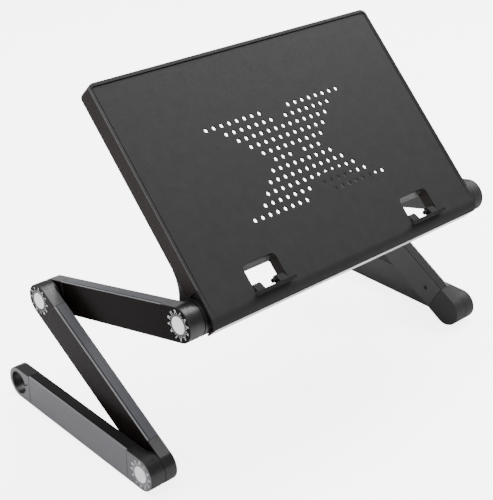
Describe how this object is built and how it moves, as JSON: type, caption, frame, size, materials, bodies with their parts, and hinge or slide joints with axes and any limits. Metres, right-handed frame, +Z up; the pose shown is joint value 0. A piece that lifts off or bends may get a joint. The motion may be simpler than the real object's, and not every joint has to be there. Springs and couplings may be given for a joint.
{
  "type": "folding laptop table",
  "caption": "Vented tray panel with flip-up stoppers, tilted between two folding legs of hollow beams with push-button lock joints.",
  "frame": {"origin": "on the floor at the centre of the whole footprint", "axes": "+X to the right along the hinge lines, +Y to the back, +Z up"},
  "size_m": [0.5458, 0.3084, 0.403],
  "materials": {
    "tray_plastic": "fine-grained black ABS",
    "moulded_plastic": "satin black, faintly grained",
    "anodised": "black anodised, satin, brushed along its length",
    "button_metal": "satin silver",
    "gear_plastic": "natural nylon",
    "steel": "dark zinc"
  },
  "bodies": {
    "tray_body": {"tray": "tray_plastic", "left_hinge_ear": "moulded_plastic", "left_stopper_left_pin": "steel", "left_stopper_right_pin": "steel", "right_hinge_ear": "moulded_plastic", "right_stopper_left_pin": "steel", "right_stopper_right_pin": "steel"},
    "left_stopper_body": {"left_stopper": "tray_plastic"},
    "left_upper_leg": {"left_upper_beam": "anodised", "left_upper_front_cap": "moulded_plastic", "left_upper_rear_cap": "moulded_plastic", "left_upper_front_screw": "steel", "left_upper_rear_screw": "steel", "left_top_spring": "steel"},
    "left_top_push": {"left_top_button": "button_metal", "left_top_gear": "gear_plastic"},
    "left_middle_leg": {"left_middle_beam": "anodised", "left_middle_rear_cap": "moulded_plastic", "left_middle_front_cap": "moulded_plastic", "left_middle_rear_screw": "steel", "left_middle_front_screw": "steel", "left_rear_spring": "steel"},
    "left_rear_push": {"left_rear_button": "button_metal", "left_rear_gear": "gear_plastic"},
    "left_lowest_leg": {"left_lowest_beam": "anodised", "left_lowest_front_cap": "moulded_plastic", "left_lowest_foot_cap": "moulded_plastic", "left_lowest_front_screw": "steel", "left_lowest_foot_screw": "steel", "left_front_spring": "steel"},
    "left_front_push": {"left_front_button": "button_metal", "left_front_gear": "gear_plastic"},
    "right_stopper_body": {"right_stopper": "tray_plastic"},
    "right_upper_leg": {"right_upper_beam": "anodised", "right_upper_front_cap": "moulded_plastic", "right_upper_rear_cap": "moulded_plastic", "right_upper_front_screw": "steel", "right_upper_rear_screw": "steel", "right_top_spring": "steel"},
    "right_top_push": {"right_top_button": "button_metal", "right_top_gear": "gear_plastic"},
    "right_middle_leg": {"right_middle_beam": "anodised", "right_middle_rear_cap": "moulded_plastic", "right_middle_front_cap": "moulded_plastic", "right_middle_rear_screw": "steel", "right_middle_front_screw": "steel", "right_rear_spring": "steel"},
    "right_rear_push": {"right_rear_button": "button_metal", "right_rear_gear": "gear_plastic"},
    "right_lowest_leg": {"right_lowest_beam": "anodised", "right_lowest_front_cap": "moulded_plastic", "right_lowest_foot_cap": "moulded_plastic", "right_lowest_front_screw": "steel", "right_lowest_foot_screw": "steel", "right_front_spring": "steel"},
    "right_front_push": {"right_front_button": "button_metal", "right_front_gear": "gear_plastic"}
  },
  "joints": [
    {"name": "left_stopper_hinge", "type": "hinge", "parent": "tray_body", "child": "left_stopper_body", "pos_m": [-0.1225, -0.13926, 0.21232], "axis": [1, 0, 0], "range_deg": [-90, 0]},
    {"name": "left_top_joint", "type": "hinge", "parent": "tray_body", "child": "left_upper_leg", "pos_m": [-0.2141, -0.12625, 0.19959], "axis": [1, 0, 0], "range_deg": [-285, 60]},
    {"name": "left_top_button_press", "type": "slide", "parent": "left_upper_leg", "child": "left_top_push", "axis": [1, 0, 0], "range_m": [0, 0.003], "stiffness_N_per_m": 1500, "springref_m": -0.002, "deforming": ["left_top_spring"]},
    {"name": "left_rear_joint", "type": "hinge", "parent": "left_upper_leg", "child": "left_middle_leg", "pos_m": [-0.2335, 0.10268, 0.13825], "axis": [-1, 0, 0], "range_deg": [-300, 45]},
    {"name": "left_rear_button_press", "type": "slide", "parent": "left_middle_leg", "child": "left_rear_push", "axis": [1, 0, 0], "range_m": [0, 0.003], "stiffness_N_per_m": 1500, "springref_m": -0.002, "deforming": ["left_rear_spring"]},
    {"name": "left_front_joint", "type": "hinge", "parent": "left_middle_leg", "child": "left_lowest_leg", "pos_m": [-0.2529, -0.10257, 0.01975], "axis": [1, 0, 0], "range_deg": [-315, 30]},
    {"name": "left_front_button_press", "type": "slide", "parent": "left_lowest_leg", "child": "left_front_push", "axis": [1, 0, 0], "range_m": [0, 0.003], "stiffness_N_per_m": 1500, "springref_m": -0.002, "deforming": ["left_front_spring"]},
    {"name": "right_stopper_hinge", "type": "hinge", "parent": "tray_body", "child": "right_stopper_body", "pos_m": [0.1225, -0.13926, 0.21232], "axis": [1, 0, 0], "range_deg": [-90, 0]},
    {"name": "right_top_joint", "type": "hinge", "parent": "tray_body", "child": "right_upper_leg", "pos_m": [0.2141, -0.12625, 0.19959], "axis": [1, 0, 0], "range_deg": [-285, 60]},
    {"name": "right_top_button_press", "type": "slide", "parent": "right_upper_leg", "child": "right_top_push", "axis": [-1, 0, 0], "range_m": [0, 0.003], "stiffness_N_per_m": 1500, "springref_m": -0.002, "deforming": ["right_top_spring"]},
    {"name": "right_rear_joint", "type": "hinge", "parent": "right_upper_leg", "child": "right_middle_leg", "pos_m": [0.2335, 0.10268, 0.13825], "axis": [-1, 0, 0], "range_deg": [-300, 45]},
    {"name": "right_rear_button_press", "type": "slide", "parent": "right_middle_leg", "child": "right_rear_push", "axis": [-1, 0, 0], "range_m": [0, 0.003], "stiffness_N_per_m": 1500, "springref_m": -0.002, "deforming": ["right_rear_spring"]},
    {"name": "right_front_joint", "type": "hinge", "parent": "right_middle_leg", "child": "right_lowest_leg", "pos_m": [0.2529, -0.10257, 0.01975], "axis": [1, 0, 0], "range_deg": [-315, 30]},
    {"name": "right_front_button_press", "type": "slide", "parent": "right_lowest_leg", "child": "right_front_push", "axis": [-1, 0, 0], "range_m": [0, 0.003], "stiffness_N_per_m": 1500, "springref_m": -0.002, "deforming": ["right_front_spring"]}
  ]
}
